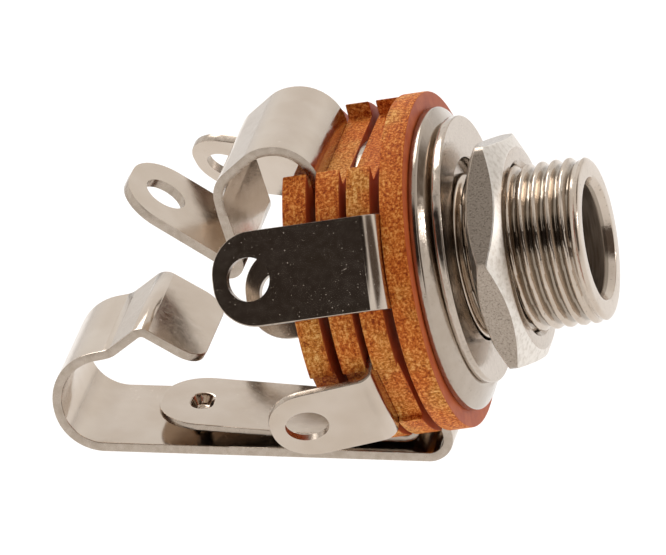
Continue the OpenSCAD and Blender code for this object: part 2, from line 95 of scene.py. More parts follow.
class Fold:
    """A strip's centre line, from its corners (x, height, bend radius).

    Places on it are lengths along it, and its first corner is at start."""

    def __init__(self, corners, start=0.0):
        self.runs = []
        here = Vector(corners[0][:2])
        s = start
        for before, corner, after in zip(corners, corners[1:], corners[2:]):
            u = (Vector(corner[:2]) - Vector(before[:2])).normalized()
            v = (Vector(after[:2]) - Vector(corner[:2])).normalized()
            turn = math.atan2(u.x * v.y - u.y * v.x, u.dot(v))
            reach = corner[2] * math.tan(abs(turn) / 2)
            heading = math.atan2(u.y, u.x)
            bend = Vector(corner[:2]) - reach * u
            length = (bend - here).length
            self.runs.append((s, length, here, heading, 0.0))
            s += length
            bend_length = corner[2] * abs(turn)
            self.runs.append((s, bend_length, bend, heading, turn))
            s += bend_length
            here = Vector(corner[:2]) + reach * v
        last = Vector(corners[-1][:2]) - here
        self.runs.append((s, last.length, here, math.atan2(last.y, last.x), 0.0))
        self.end = s + last.length

    def at(self, s):
        """Point and normal (both in the plane of the line) at a length."""
        run = self.runs[0]
        for later in self.runs:
            if later[0] <= s:
                run = later
        s0, length, here, heading, turn = run
        if turn == 0.0:
            point = here + (s - s0) * Vector((math.cos(heading), math.sin(heading)))
        else:
            signed_r = length / turn
            centre = here + signed_r * Vector((-math.sin(heading), math.cos(heading)))
            heading += turn * (s - s0) / length
            point = centre - signed_r * Vector((-math.sin(heading), math.cos(heading)))
        return point, Vector((-math.sin(heading), math.cos(heading)))

    def cuts(self):
        """Lengths at which the flat pattern is cut so that it can bend smoothly."""
        lengths = []
        for s0, length, _, _, turn in self.runs:
            if turn:
                steps = max(3, math.ceil(abs(turn) / BEND_STEP))
                lengths += [s0 + length * i / steps for i in range(steps + 1)]
        return lengths


# Flat patterns, as loops of (length, sideways) points

def arc(centre, r, first, last, steps):
    angles = [first + (last - first) * i / steps for i in range(steps + 1)]
    return [(centre[0] + r * math.cos(a), centre[1] + r * math.sin(a)) for a in angles]


def circle(s, v, r, steps=HOLE_STEPS):
    return arc((s, v), r, 0, math.tau, steps)[:-1]


def round_end(s, half_w, corner):
    """End of a strip with two rounded corners, from its -V side to its +V side."""
    quarter = math.pi / 2
    return (arc((s - corner, corner - half_w), corner, -quarter, 0, CORNER_STEPS)
            + arc((s - corner, half_w - corner), corner, 0, quarter, CORNER_STEPS))


def strip_outline(s0, s1, half_w, corner):
    return [(s0, -half_w)] + round_end(s1, half_w, corner) + [(s0, half_w)]


def plate_outline(s1, plate_r):
    """Round plate about the origin with a lug that ends at s1."""
    root = math.asin(LUG_HALF_W / plate_r)
    rim = arc((0, 0), plate_r, root, math.tau - root, PLATE_STEPS)
    return round_end(s1, LUG_HALF_W, LUG_CORNER) + rim


# Meshes

def finish_mesh(name, bm, materials, sharp_deg=SHARP_DEG):
    """Makes an object of a mesh drawn in millimetres, smooth except at its real edges."""
    bmesh.ops.recalc_face_normals(bm, faces=bm.faces[:])
    bmesh.ops.scale(bm, vec=(MM, MM, MM), verts=bm.verts[:])
    mesh = bpy.data.meshes.new(name)
    bm.to_mesh(mesh)
    bm.free()
    for material in materials:
        mesh.materials.append(material)
    mesh.polygons.foreach_set("use_smooth", [True] * len(mesh.polygons))
    mesh.set_sharp_from_angle(angle=math.radians(sharp_deg))
    piece = bpy.data.objects.new(name, mesh)
    bpy.context.scene.collection.objects.link(piece)
    normals = piece.modifiers.new("normals", "WEIGHTED_NORMAL")
    normals.keep_sharp = True
    return piece


def flat_pattern(loops, cuts):
    """Flat mesh inside the loops, cut across at each given length, and each loop's vertices."""
    bm = bmesh.new()
    kept = []
    for loop in loops:
        verts = [bm.verts.new((s, v, 0)) for s, v in loop]
        for a, b in zip(verts, verts[1:] + verts[:1]):
            bm.edges.new((a, b))
        kept.append(verts)
    bmesh.ops.triangle_fill(bm, use_beauty=True, edges=bm.edges[:])
    for s in cuts:
        everything = bm.verts[:] + bm.edges[:] + bm.faces[:]
        made = bmesh.ops.bisect_plane(bm, geom=everything, dist=1e-6, plane_co=(s, 0, 0),
                                      plane_no=(1, 0, 0))
        for item in made["geom_cut"]:
            if isinstance(item, bmesh.types.BMEdge):
                item.seam = True
    bmesh.ops.dissolve_limit(bm, angle_limit=0.01, use_dissolve_boundaries=False, verts=bm.verts[:],
                             edges=bm.edges[:], delimit={"SEAM"})
    bm.normal_update()
    for face in bm.faces:
        if face.normal.z < 0:
            face.normal_flip()
    bm.verts.index_update()
    return bm, kept


def sheet(name, fold, loops, thickness, angle=0.0, dimple=None):
    """Stamped sheet: a flat pattern bent along a line and turned about the X axis.

    Its outer edges are rolled off, and the pattern is also cut straight across its holes. A dimple is
    (loop number, steps), where each step is (share of the way to the loop's centre, depth)."""
    holes = [loop for i, loop in enumerate(loops) if i > 0 and not (dimple and i == dimple[0])]
    across_holes = [sum(s for s, _ in hole) / len(hole) for hole in holes]
    flat, kept = flat_pattern(loops, fold.cuts() + across_holes)
    turn = Matrix.Rotation(angle, 3, "X")

    def place(s, v, offset):
        point, normal = fold.at(s)
        point = point + offset * normal
        return turn @ Vector((point.x, v, point.y))

    bm = bmesh.new()
    sides = []
    for offset in (thickness / 2, -thickness / 2):
        sides.append([bm.verts.new(place(v.co.x, v.co.y, offset)) for v in flat.verts])
    for face in flat.faces:
        order = [v.index for v in face.verts]
        bm.faces.new([sides[0][i] for i in order])
        bm.faces.new([sides[1][i] for i in reversed(order)])
    pressed = {v.index for v in kept[dimple[0]]} if dimple else set()
    punched = {v.index for loop in kept[1:] for v in loop}
    outer_rims = []
    for edge in flat.edges:
        a, b = (v.index for v in edge.verts)
        if len(edge.link_faces) == 1 and not {a, b} <= pressed:
            rim = bm.faces.new((sides[0][b], sides[0][a], sides[1][a], sides[1][b]))
            rim.material_index = 1
            if not {a, b} <= punched:
                outer_rims.append(rim)
    if dimple:
        press(bm, kept[dimple[0]], sides, dimple[1], place, thickness)
    bm.normal_update()
    rim_edges = {edge for rim in outer_rims for edge in rim.edges}
    corners = [e for e in rim_edges if any(face.material_index == 0 for face in e.link_faces)]
    bmesh.ops.bevel(bm, geom=corners, offset=ROLL_OFF, offset_type="OFFSET", segments=2, profile=0.5,
                    affect="EDGES", clamp_overlap=True, material=-1)
    flat.free()
    return finish_mesh(name, bm, (SHEET, SHEARED))


def press(bm, loop, sides, steps, place, thickness):
    """Presses a pan into both faces of a sheet, inside a loop of its flat pattern."""
    centre = sum((v.co for v in loop), Vector()) / len(loop)
    for side, offset in zip(sides, (thickness / 2, -thickness / 2)):
        ring = [side[v.index] for v in loop]
        for share, depth in steps:
            inner = []
            for v in loop:
                at = v.co.lerp(centre, share)
                inner.append(bm.verts.new(place(at.x, at.y, offset + depth)))
            for i in range(len(ring)):
                j = (i + 1) % len(ring)
                bm.faces.new((ring[i], ring[j], inner[j], inner[i]))
            ring = inner
        bm.faces.new(ring)


def rounded(corners, steps=4):
    """Points of a closed profile from its corners (x, r, rounding radius)."""
    points = []
    count = len(corners)
    for i, (x, r, radius) in enumerate(corners):
        p = Vector((x, r))
        if not radius:
            points.append(p)
            continue
        u = (Vector(corners[i - 1][:2]) - p).normalized()
        v = (Vector(corners[(i + 1) % count][:2]) - p).normalized()
        half = u.angle(v) / 2
        start = p + u * radius / math.tan(half)
        end = p + v * radius / math.tan(half)
        centre = p + (u + v).normalized() * radius / math.sin(half)
        for k in range(steps + 1):
            towards = start.lerp(end, k / steps) - centre
            points.append(centre + towards.normalized() * radius)
    return points


def turned(name, section_at, finishes, materials, segments, sharp_deg=SHARP_DEG):
    """Solid of closed sections, one at each angle about the X axis.

    section_at(angle) gives a section's (x, r) points, and finishes the material number of the band that
    starts at each point."""
    bm = bmesh.new()
    rings = []
    for i in range(segments):
        a = math.tau * i / segments
        rings.append([bm.verts.new((x, r * math.cos(a), r * math.sin(a))) for x, r in section_at(a)])
    for ring, after in zip(rings, rings[1:] + rings[:1]):
        for j, finish in enumerate(finishes):
            k = (j + 1) % len(ring)
            face = bm.faces.new((ring[j], ring[k], after[k], after[j]))
            face.material_index = finish
    return finish_mesh(name, bm, materials, sharp_deg)


# Shader nodes

def new_material(name, metallic=0.0):
    material = bpy.data.materials.new(name)
    material.use_nodes = True
    tree = material.node_tree
    shader = tree.nodes["Principled BSDF"]
    shader.inputs["Metallic"].default_value = metallic
    return material, tree, shader


def feed(tree, shader, colour, roughness, normal=None):
    """Joins a material's colour, roughness and bumps to its shader."""
    tree.links.new(colour, shader.inputs["Base Color"])
    tree.links.new(roughness, shader.inputs["Roughness"])
    if normal is not None:
        tree.links.new(normal, shader.inputs["Normal"])


def node(tree, kind, inputs=None, **settings):
    made = tree.nodes.new(kind)
    for key, value in settings.items():
        setattr(made, key, value)
    for key, value in (inputs or {}).items():
        if isinstance(value, bpy.types.NodeSocket):
            tree.links.new(value, made.inputs[key])
        else:
            made.inputs[key].default_value = value
    return made


def in_millimetres(tree, stretch=(1, 1, 1)):
    """Object coordinates in millimetres, with each axis multiplied by a stretch."""
    coords = node(tree, "ShaderNodeTexCoord").outputs["Object"]
    scale = [k / MM for k in stretch]
    return node(tree, "ShaderNodeMapping", {"Vector": coords, "Scale": scale}).outputs[0]


def noise(tree, vector, scale, detail=3.0, roughness=0.55):
    made = node(tree, "ShaderNodeTexNoise", {"Vector": vector, "Scale": scale, "Detail": detail,
                                             "Roughness": roughness})
    return made.outputs["Fac"]


def ramp(tree, value, stops):
    """Colour ramp from (place, colour) stops."""
    made = node(tree, "ShaderNodeValToRGB", {"Fac": value})
    elements = made.color_ramp.elements
    while len(elements) < len(stops):
        elements.new(0.5)
    for element, (place, colour) in zip(elements, stops):
        element.position = place
        element.color = (*colour, 1)
    return made.outputs["Color"]


def spread(tree, value, low, high, start=0.3, end=0.7):
    """Goes smoothly from low to high as a value goes from start to end."""
    limits = {"From Min": start, "From Max": end, "To Min": low, "To Max": high}
    made = node(tree, "ShaderNodeMapRange", {"Value": value, **limits}, interpolation_type="SMOOTHSTEP")
    return made.outputs[0]


def mix(tree, factor, a, b):
    made = node(tree, "ShaderNodeMix", data_type="RGBA")
    for socket, value in ((made.inputs["Factor"], factor), (made.inputs[6], a), (made.inputs[7], b)):
        if isinstance(value, bpy.types.NodeSocket):
            tree.links.new(value, socket)
        else:
            socket.default_value = (*value, 1)
    return made.outputs[2]


def math_node(tree, operation, *values):
    made = node(tree, "ShaderNodeMath", operation=operation)
    for socket, value in zip(made.inputs, values):
        if isinstance(value, bpy.types.NodeSocket):
            tree.links.new(value, socket)
        else:
            socket.default_value = value
    return made.outputs[0]


def bump(tree, height, distance_mm, strength=1.0, under=None):
    inputs = {"Height": height, "Distance": distance_mm * MM, "Strength": strength}
    if under is not None:
        inputs["Normal"] = under
    return node(tree, "ShaderNodeBump", inputs).outputs[0]


def specks(tree, at, scale, start):
    """Scattered specks: one where a fine noise peaks, nought elsewhere."""
    return spread(tree, noise(tree, at, scale, 2, 0.6), 0, 1, start, start + 0.05)


# Materials

NICKEL = (0.60, 0.515, 0.435)
NICKEL_WARM = (0.55, 0.46, 0.375)
NICKEL_DARK = (0.28, 0.225, 0.18)
NICKEL_SHADED = (0.47, 0.40, 0.335)
NICKEL_SHADED_WARM = (0.42, 0.35, 0.285)
# Colour of the painted shade in the thread's roots
ROOT_SHADE = (0.33, 0.275, 0.22)
# Radii between which the painted shade in the thread's roots fades out, and where the unshaded lip starts
ROOT_SHADE_R = 4.42
UNSHADED_R = 4.58
ROOT_SHADE_END = 7.2


def nickel_sheet():
    """Plated, rolled sheet: soft waves, fine scratches along it and a scatter of dust-sized specks."""
    material, tree, shader = new_material("nickel_sheet", 1.0)
    at = in_millimetres(tree)
    tint = spread(tree, noise(tree, at, 0.35, 2), 0, 1)
    dust = specks(tree, at, 8.0, 0.71)
    polish = spread(tree, noise(tree, at, 2.5, 2), 0.13, 0.18)
    roughness = math_node(tree, "ADD", polish, math_node(tree, "MULTIPLY", dust, 0.35))
    waves = bump(tree, noise(tree, at, 0.45, 1), 0.03, 0.5)
    scratches = bump(tree, noise(tree, in_millimetres(tree, (1.2, 14, 14)), 1.0, 3), 0.001, 0.4, waves)
    pimples = bump(tree, dust, 0.012, 0.6, scratches)
    feed(tree, shader, mix(tree, tint, NICKEL, NICKEL_WARM), roughness, pimples)
    return material


def nickel_sheared():
    """Cut edge of plated sheet: duller and slightly uneven."""
    material, tree, shader = new_material("nickel_sheared", 1.0)
    torn = noise(tree, in_millimetres(tree), 2.4, 3, 0.5)
    colour = ramp(tree, torn, [(0.34, (0.41, 0.34, 0.275)), (0.66, (0.50, 0.425, 0.355))])
    feed(tree, shader, colour, spread(tree, torn, 0.22, 0.30), bump(tree, torn, 0.003, 0.25))
    return material


def nickel_turned(name, bright, warm):
    """Plated turned metal: fine grooves round the axis, small spots, and painted shade in the thread's
    roots.
    """
    material, tree, shader = new_material(name, 1.0)
    at = in_millimetres(tree)
    flat = node(tree, "ShaderNodeVectorMath", {0: at, 1: (0, 1, 1)}, operation="MULTIPLY").outputs[0]
    radius = node(tree, "ShaderNodeVectorMath", {0: flat}, operation="LENGTH").outputs["Value"]
    along = node(tree, "ShaderNodeSeparateXYZ", {0: at}).outputs[0]
    grooves_at = node(tree, "ShaderNodeCombineXYZ", {0: along, 1: radius}).outputs[0]
    tint = spread(tree, noise(tree, at, 0.6, 3), 0, 1)
    spots = specks(tree, at, 6.0, 0.66)
    spotted = mix(tree, spots, mix(tree, tint, bright, warm), NICKEL_DARK)
    # Painted shade: the colour is darker below a radius, in the thread's roots, and in front of the lip
    in_root = spread(tree, radius, 1, 0, ROOT_SHADE_R, UNSHADED_R)
    root_shade = math_node(tree, "MULTIPLY", in_root, math_node(tree, "LESS_THAN", along, ROOT_SHADE_END))
    roughness = spread(tree, noise(tree, at, 1.8), 0.11, 0.19)
    grooves = bump(tree, noise(tree, grooves_at, 7, 3), 0.002, 0.5)
    grain = bump(tree, noise(tree, at, 4, 4, 0.6), 0.014, 0.5, grooves)
    feed(tree, shader, mix(tree, root_shade, spotted, ROOT_SHADE), roughness, grain)
    return material


def nickel_tumbled():
    """Plated stamped metal with a finely pitted, tumbled surface, for the washer and the nut's faces."""
    material, tree, shader = new_material("nickel_tumbled", 1.0)
    at = in_millimetres(tree)
    pits = noise(tree, at, 7.0, 3, 0.6)
    colour = ramp(tree, pits, [(0.30, (0.38, 0.31, 0.25)), (0.42, (0.50, 0.425, 0.355)),
                               (0.66, (0.56, 0.48, 0.405))])
    feed(tree, shader, colour, spread(tree, noise(tree, at, 2.2), 0.13, 0.20), bump(tree, pits, 0.004, 0.4))
    return material


def nickel_bar():
    """Plated drawn bar, for the nut's flats: darker, finely pitted and scratched."""
    material, tree, shader = new_material("nickel_bar", 1.0)
    pits = noise(tree, in_millimetres(tree), 9.0, 4, 0.7)
    scratches = noise(tree, in_millimetres(tree, (9, 0.8, 0.8)), 1.0, 2)
    colour = ramp(tree, pits, [(0.34, (0.22, 0.18, 0.145)), (0.46, (0.36, 0.30, 0.245)),
                               (0.66, (0.44, 0.37, 0.31))])
    scratched = bump(tree, scratches, 0.006, 0.4)
    feed(tree, shader, colour, spread(tree, pits, 0.30, 0.20), bump(tree, pits, 0.006, 0.5, scratched))
    return material


def nickel_painted_highlight():
    """Painted highlight on the nut's chamfers: the plate is coloured a bright satin."""
    material, tree, shader = new_material("nickel_painted_highlight", 1.0)
    highlight_patches = noise(tree, in_millimetres(tree), 3.0, 4, 0.6)
    # Painted highlight: the chamfers are coloured brighter than plain nickel, in patches
    colour = ramp(tree, highlight_patches, [(0.34, (0.66, 0.60, 0.53)), (0.55, (0.84, 0.79, 0.73))])
    feed(tree, shader, colour, spread(tree, highlight_patches, 0.34, 0.44), bump(tree, highlight_patches, 0.015, 0.5))
    return material


def nickel_reamed():
    """Bore of the bushing: satin, with fine rings."""
    material, tree, shader = new_material("nickel_reamed", 1.0)
    rings = noise(tree, in_millimetres(tree, (9, 0.6, 0.6)), 1.0, 3)
    colour = ramp(tree, rings, [(0.35, (0.26, 0.20, 0.155)), (0.65, (0.40, 0.325, 0.26))])
    feed(tree, shader, colour, spread(tree, rings, 0.42, 0.55), bump(tree, rings, 0.004, 0.5))
    return material


def fibre():
    """Laminated fibre: a speckled cut rim that drifts from red to gold, and smoother red-brown faces."""
    material, tree, shader = new_material("laminated_fibre")
    at = in_millimetres(tree)
    layers = noise(tree, in_millimetres(tree, (5, 0.8, 0.8)), 1.0, 3)
    grain = noise(tree, at, 6.0, 4, 0.8)
    speckle = math_node(tree, "ADD", math_node(tree, "MULTIPLY", grain, 0.8),
                        math_node(tree, "MULTIPLY", layers, 0.2))
    red = ramp(tree, speckle, [(0.38, (0.22, 0.030, 0.005)), (0.455, (0.48, 0.092, 0.011)),
                               (0.52, (0.66, 0.165, 0.022)), (0.60, (0.90, 0.40, 0.10))])
    gold = ramp(tree, speckle, [(0.38, (0.25, 0.052, 0.008)), (0.455, (0.50, 0.150, 0.020)),
                                (0.52, (0.70, 0.270, 0.050)), (0.60, (0.94, 0.57, 0.20))])
    drift = spread(tree, noise(tree, at, 0.32, 2), 0, 1, 0.44, 0.66)
    rim = mix(tree, drift, red, gold)
    blotch = noise(tree, at, 0.9, 3)
    face = ramp(tree, blotch, [(0.35, (0.46, 0.080, 0.020)), (0.65, (0.56, 0.125, 0.034))])
    normal = node(tree, "ShaderNodeNewGeometry").outputs["True Normal"]
    axial = math_node(tree, "ABSOLUTE", node(tree, "ShaderNodeSeparateXYZ", {0: normal}).outputs[0])
    is_face = spread(tree, axial, 0, 1, 0.55, 0.75)
    polish = {"Value": is_face, "To Min": 0.55, "To Max": 0.42}
    roughness = node(tree, "ShaderNodeMapRange", polish).outputs[0]
    depth = math_node(tree, "MULTIPLY", speckle, math_node(tree, "SUBTRACT", 1.1, is_face))
    feed(tree, shader, mix(tree, is_face, rim, face), roughness, bump(tree, depth, 0.09, 0.7))
    shader.inputs["Specular IOR Level"].default_value = 0.1
    return material


def tube_fibre():
    """Plain brown fibre of the hidden tube."""
    material, tree, shader = new_material("tube_fibre")
    grain = noise(tree, in_millimetres(tree), 5, 3)
    colour = ramp(tree, grain, [(0.35, (0.10, 0.035, 0.016)), (0.65, (0.20, 0.075, 0.035))])
    feed(tree, shader, colour, spread(tree, grain, 0.45, 0.6))
    return material


def floor_paint():
    """Pale matt floor."""
    material, tree, shader = new_material("floor_paint")
    shade = noise(tree, in_millimetres(tree), 0.01, 2)
    colour = ramp(tree, shade, [(0.3, (0.93, 0.93, 0.93)), (0.7, (0.96, 0.96, 0.96))])
    tree.links.new(colour, shader.inputs["Base Color"])
    shader.inputs["Roughness"].default_value = 0.9
    shader.inputs["Emission Color"].default_value = (1, 1, 1, 1)
    shader.inputs["Emission Strength"].default_value = 0.15
    return material


SHEET = nickel_sheet()
SHEARED = nickel_sheared()
TURNED = nickel_turned("nickel_turned", NICKEL, NICKEL_WARM)
# The flange takes the darker, shaded copy of the turned nickel: painted shade.
FLANGE = nickel_turned("nickel_flange", NICKEL_SHADED, NICKEL_SHADED_WARM)
TUMBLED = nickel_tumbled()
BAR = nickel_bar()
PAINTED_HIGHLIGHT = nickel_painted_highlight()
REAMED = nickel_reamed()
FIBRE = fibre()
TUBE = tube_fibre()


def stand_for(piece, node_name, body="stack"):
    """A piece takes a solid's place on a body."""
    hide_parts(node_name)
    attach(piece, body)


def stand_for_arm(piece, node_name):
    """A spring takes its arm's place: the arm's solid is hidden and the spring's placing is baked into its
    mesh.
    """
    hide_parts(node_name)
    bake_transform(piece)


# Plates with their solder lugs: angles and flares in degrees

LONG_LUG_LEN = 9.6
SWITCH_LUG_LEN = 6.5
SLEEVE_LUG_LEN = 8.6
TIP_LUG_ANGLE = 64
SWITCH_LUG_ANGLE = 117
RING_LUG_ANGLE = -117
SLEEVE_LUG_ANGLE = -58
SWITCH_LUG_FLARE = 6
SLEEVE_LUG_FLARE = 17
SLEEVE_PLATE_R = 6.2
SLEEVE_HOLE_R = 4.95
SLEEVE_LUG_R = 6.95


def plate_with_lug(name, x, t, angle, length, flare=0.0, plate_r=PLATE_R, hole_r=STACK_HOLE_R, lug_r=LUG_R):
    rise = math.radians(flare)
    lug_end = (x - length * math.cos(rise), lug_r + length * math.sin(rise), 0)
    fold = Fold([(x, -plate_r, 0), (x, lug_r, LUG_BEND_R), lug_end], start=-plate_r)
    loops = [plate_outline(fold.end, plate_r), circle(0, 0, hole_r, PLATE_STEPS),
             circle(fold.end - LUG_HOLE_BACK, 0, LUG_HOLE_R)]
    return sheet(name, fold, loops, t, math.radians(angle))


tip_plate = plate_with_lug("tip_plate", TIP_X, TIP_T, TIP_LUG_ANGLE, LONG_LUG_LEN)
stand_for(tip_plate, "tip_terminal")
ring_plate = plate_with_lug("ring_plate", RING_X, RING_T, RING_LUG_ANGLE, LONG_LUG_LEN)
stand_for(ring_plate, "ring_terminal")
sleeve_plate = plate_with_lug("sleeve_plate", SLEEVE_X, SLEEVE_T, SLEEVE_LUG_ANGLE, SLEEVE_LUG_LEN,
                              SLEEVE_LUG_FLARE, SLEEVE_PLATE_R, SLEEVE_HOLE_R, SLEEVE_LUG_R)
stand_for(sleeve_plate, "sleeve_terminal")
switch_plate = plate_with_lug("switch_plate", SWITCH_X, LEAF_T, SWITCH_LUG_ANGLE, SWITCH_LUG_LEN,
                              SWITCH_LUG_FLARE)
stand_for(switch_plate, "switch_terminal")


# Tip spring: its bends are measured back from its plate and down from the axis

TIP_HALF_W = 3.85
TIP_CORNER = 1.5
TIP_DROP = 10.6
TIP_ROOT_R = 1.2
TIP_SLOPE = math.tan(math.radians(10.3))
TIP_LOOP_BACK = 22.1
TIP_LOOP_DROP = 1.45
TIP_LOOP_R = 2.6
TIP_LOOP_TOP_R = 3.0
TIP_SHOULDER_BACK = 18.3
TIP_SHOULDER_DROP = 1.25
TIP_SHOULDER_R = 1.5
TIP_CONTACT_BACK = 16.15
TIP_CONTACT_DROP = 0.08
TIP_CONTACT_R = 0.6
TIP_TAIL_BACK = 13.15
TIP_TAIL_DROP = 2.7


def tip_run_z(x):
    """Middle of the tip spring's lower run."""
    return (TIP_X - x) * TIP_SLOPE - TIP_DROP


tip_loop_x = TIP_X - TIP_LOOP_BACK
tip_fold = Fold([
    (TIP_X, -PLATE_MID_R, 0),
    (TIP_X, -TIP_DROP, TIP_ROOT_R),
    (tip_loop_x, tip_run_z(tip_loop_x), TIP_LOOP_R),
    (tip_loop_x, -TIP_LOOP_DROP, TIP_LOOP_TOP_R),
    (TIP_X - TIP_SHOULDER_BACK, -TIP_SHOULDER_DROP, TIP_SHOULDER_R),
    (TIP_X - TIP_CONTACT_BACK, -TIP_CONTACT_DROP, TIP_CONTACT_R),
    (TIP_X - TIP_TAIL_BACK, -TIP_TAIL_DROP, 0),
])
tip_outline = strip_outline(0, tip_fold.end, TIP_HALF_W, TIP_CORNER)
tip_strip = sheet("tip_strip", tip_fold, [tip_outline], TIP_T)
stand_for_arm(tip_strip, "tip_spring")


# Switch leaf with its pressed dimple

LEAF_HALF_W = 3.05
LEAF_CORNER = 2.6
LEAF_GAP = 0.25
LEAF_RUN = 6.9
LEAF_LEN = 8.6
LEAF_KNEE_R = 9.0
LEAF_SLOPE = math.radians(13.5)
DIMPLE_BACK = 2.4
DIMPLE_HALF_LEN = 0.75
DIMPLE_HALF_W = 1.1
DIMPLE_CORNER = 0.74
DIMPLE_DEPTH = 0.52
DIMPLE_WALL = 0.62
DIMPLE_RINGS = 10

leaf_root_z = tip_run_z(SWITCH_X) + TIP_T / 2 * math.hypot(1, TIP_SLOPE) + LEAF_GAP + LEAF_T / 2
leaf_knee = Vector((SWITCH_X - LEAF_RUN, leaf_root_z + LEAF_RUN * TIP_SLOPE))
leaf_end = leaf_knee + LEAF_LEN * Vector((-math.cos(LEAF_SLOPE), math.sin(LEAF_SLOPE)))
leaf_fold = Fold([
    (SWITCH_X, -PLATE_MID_R, 0),
    (SWITCH_X, leaf_root_z, LUG_BEND_R),
    (*leaf_knee, LEAF_KNEE_R),
    (*leaf_end, 0),
])


def dimple_steps():
    """Rounded fall from the leaf's face to the dimple's floor, as shares of the way in and depths."""
    shares = [i / DIMPLE_RINGS for i in range(1, DIMPLE_RINGS + 1)]
    return [(DIMPLE_WALL * share, DIMPLE_DEPTH * (1 - math.cos(math.pi * share)) / 2) for share in shares]


def dimple_outline():
    middle = leaf_fold.end - DIMPLE_BACK
    far = round_end(middle + DIMPLE_HALF_LEN, DIMPLE_HALF_W, DIMPLE_CORNER)
    return far + [(2 * middle - s, -v) for s, v in far]


leaf_outline = strip_outline(0, leaf_fold.end, LEAF_HALF_W, LEAF_CORNER)
leaf = sheet("switch_leaf", leaf_fold, [leaf_outline, dimple_outline()], LEAF_T, dimple=(1, dimple_steps()))
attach(leaf, "stack")


# Ring spring: its bends are measured back from its plate and up from the axis

RING_HALF_W = 4.15
RING_ROOT_R = 2.35
RING_CROWN_BACK = 3.1
RING_CROWN_Z = 9.9
RING_CROWN_R = 2.2
RING_LEG_BACK = 5.8
RING_LEG_TOP_Z = 8.2
RING_LEG_TOP_R = 1.6
RING_LEG_END_Z = 6.4
RING_LEG_END_R = 3.0
RING_CONTACT_BACK = 5.5
RING_CONTACT_Z = 1.9
RING_CONTACT_R = 0.6
RING_TAIL_HALF_W = 3.05
RING_TAIL_CORNER = 2.5
RING_TAIL_LEN = 8.7
RING_TAIL_SLOPE = math.radians(43)
# The neck and the hole are measured back from the tail's end
RING_NECK_BACK = 7.0
RING_NECK_R = 0.6
RING_NECK_STEPS = 8
RING_HOLE_R = 1.25
RING_HOLE_BACK = 2.3

ring_contact = Vector((RING_X - RING_CONTACT_BACK, RING_CONTACT_Z))
ring_end = ring_contact + RING_TAIL_LEN * Vector((-math.cos(RING_TAIL_SLOPE), math.sin(RING_TAIL_SLOPE)))
ring_fold = Fold([
    (RING_X, STACK_HOLE_R + RING_T, 0),
    (RING_X, RING_CROWN_Z, RING_ROOT_R),
    (RING_X - RING_CROWN_BACK, RING_CROWN_Z, RING_CROWN_R),
    (RING_X - RING_LEG_BACK, RING_LEG_TOP_Z, RING_LEG_TOP_R),
    (RING_X - RING_LEG_BACK, RING_LEG_END_Z, RING_LEG_END_R),
    (*ring_contact, RING_CONTACT_R),
    (*ring_end, 0),
])


def ring_outline():
    """Arch at its full width, then a shouldered step in to the narrower tail."""
    r = RING_NECK_R
    neck = ring_fold.end - RING_NECK_BACK
    outer = arc((neck - r, RING_HALF_W - r), r, math.pi / 2, 0, RING_NECK_STEPS)
    inner = arc((neck + r, RING_TAIL_HALF_W + r), r, math.pi, 1.5 * math.pi, RING_NECK_STEPS)
    shoulder = outer + inner
    near = [(s, -v) for s, v in shoulder]
    far = list(reversed(shoulder))
    tail = round_end(ring_fold.end, RING_TAIL_HALF_W, RING_TAIL_CORNER)
    return [(0, -RING_HALF_W)] + near + tail + far + [(0, RING_HALF_W)]


ring_hole = circle(ring_fold.end - RING_HOLE_BACK, 0, RING_HOLE_R)
ring_strip = sheet("ring_strip", ring_fold, [ring_outline(), ring_hole], RING_T)
stand_for_arm(ring_strip, "ring_spring")


# Bushing with its thread

THREAD_R = 4.7625
PITCH = 0.794
THREAD_DEPTH = 0.40
THREAD_START = 0.25
THREAD_END = 7.22
THREAD_STEP = PITCH / 12
# Shares of the half turn from a crest at which the groove starts and reaches its floor
GROOVE_START = 0.10
GROOVE_FLOOR = 0.88
LIP_R = 4.55
LIP_ROUNDING = 0.36
BORE_R = 3.25
MOUTH_R = 3.55
MOUTH_DEPTH = 0.6
BUSHING_LEN = 7.6
FLANGE_R = 8.7
FLANGE_FACE_R = 7.5
FLANGE_BEVEL = 0.65
FLANGE_BACK = front_x("front_insulator")
BARREL_R = 4.9
ROLL_R = 5.8
ROLL_TAPER = 0.3
ROLL_FRONT = front_x("sleeve_terminal") - SLEEVE_T
REAR_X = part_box("bushing")[0].x / MM
BUSHING_SEGMENTS = 192
# Room for rounding when a place is compared with a surface
NEAR = 0.02


def smooth(a, b, value):
    t = max(0.0, min(1.0, (value - a) / (b - a)))
    return t * t * (3 - 2 * t)


def thread_radius(x, r, a):
    """Radius of the threaded neck: a rounded groove along a right-handed helix.

    The groove fades in just in front of the flange and runs out into the lip."""
    if not THREAD_START <= x <= THREAD_END or abs(r - THREAD_R) > 1e-6:
        return r
    phase = (x / PITCH - a / math.tau) % 1.0
    groove = smooth(GROOVE_START, GROOVE_FLOOR, 1 - abs(2 * phase - 1))
    fade = smooth(THREAD_START, THREAD_START + PITCH, x)
    threaded = THREAD_R - THREAD_DEPTH * groove * fade
    return threaded + (LIP_R - threaded) * smooth(THREAD_END - PITCH / 2, THREAD_END, x)


